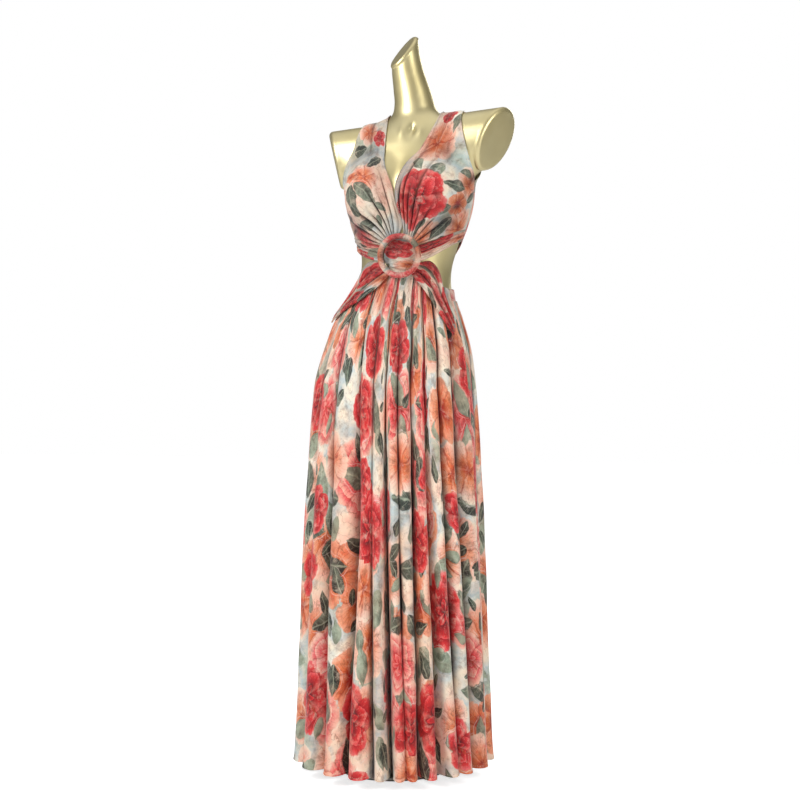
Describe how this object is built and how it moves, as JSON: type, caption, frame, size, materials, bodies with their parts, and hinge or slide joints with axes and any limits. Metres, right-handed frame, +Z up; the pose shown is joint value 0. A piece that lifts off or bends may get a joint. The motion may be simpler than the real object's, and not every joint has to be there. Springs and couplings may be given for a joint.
{
  "type": "maxi dress on a limbless dress form",
  "caption": "Sleeveless maxi dress with a plunging neck, gathered waist ring, side cut-outs and a long folded skirt, worn by a glossy limbless dress form on a round foot.",
  "frame": {"origin": "on the floor, under the middle of the outline", "axes": "+Z up; the dress faces -Y and its left side is +X"},
  "size_m": [0.4694, 0.4128, 1.5577],
  "materials": {
    "print_cloth": "soft printed chiffon in peach, coral, sage and cream",
    "form_gold": "glossy champagne gold lacquer",
    "foot_steel": "satin"
  },
  "bodies": {
    "root": {"cup_left": "print_cloth", "cup_right": "print_cloth", "back_left": "print_cloth", "back_right": "print_cloth", "under_band_left": "print_cloth", "under_band_right": "print_cloth", "ring": "print_cloth", "ring_drape": "print_cloth", "hip_band_left": "print_cloth", "hip_band_right": "print_cloth", "back_waistband": "print_cloth", "skirt_front": "print_cloth", "skirt_back": "print_cloth", "form_torso": "form_gold", "form_pole": "foot_steel", "form_base": "foot_steel"}
  },
  "joints": []
}
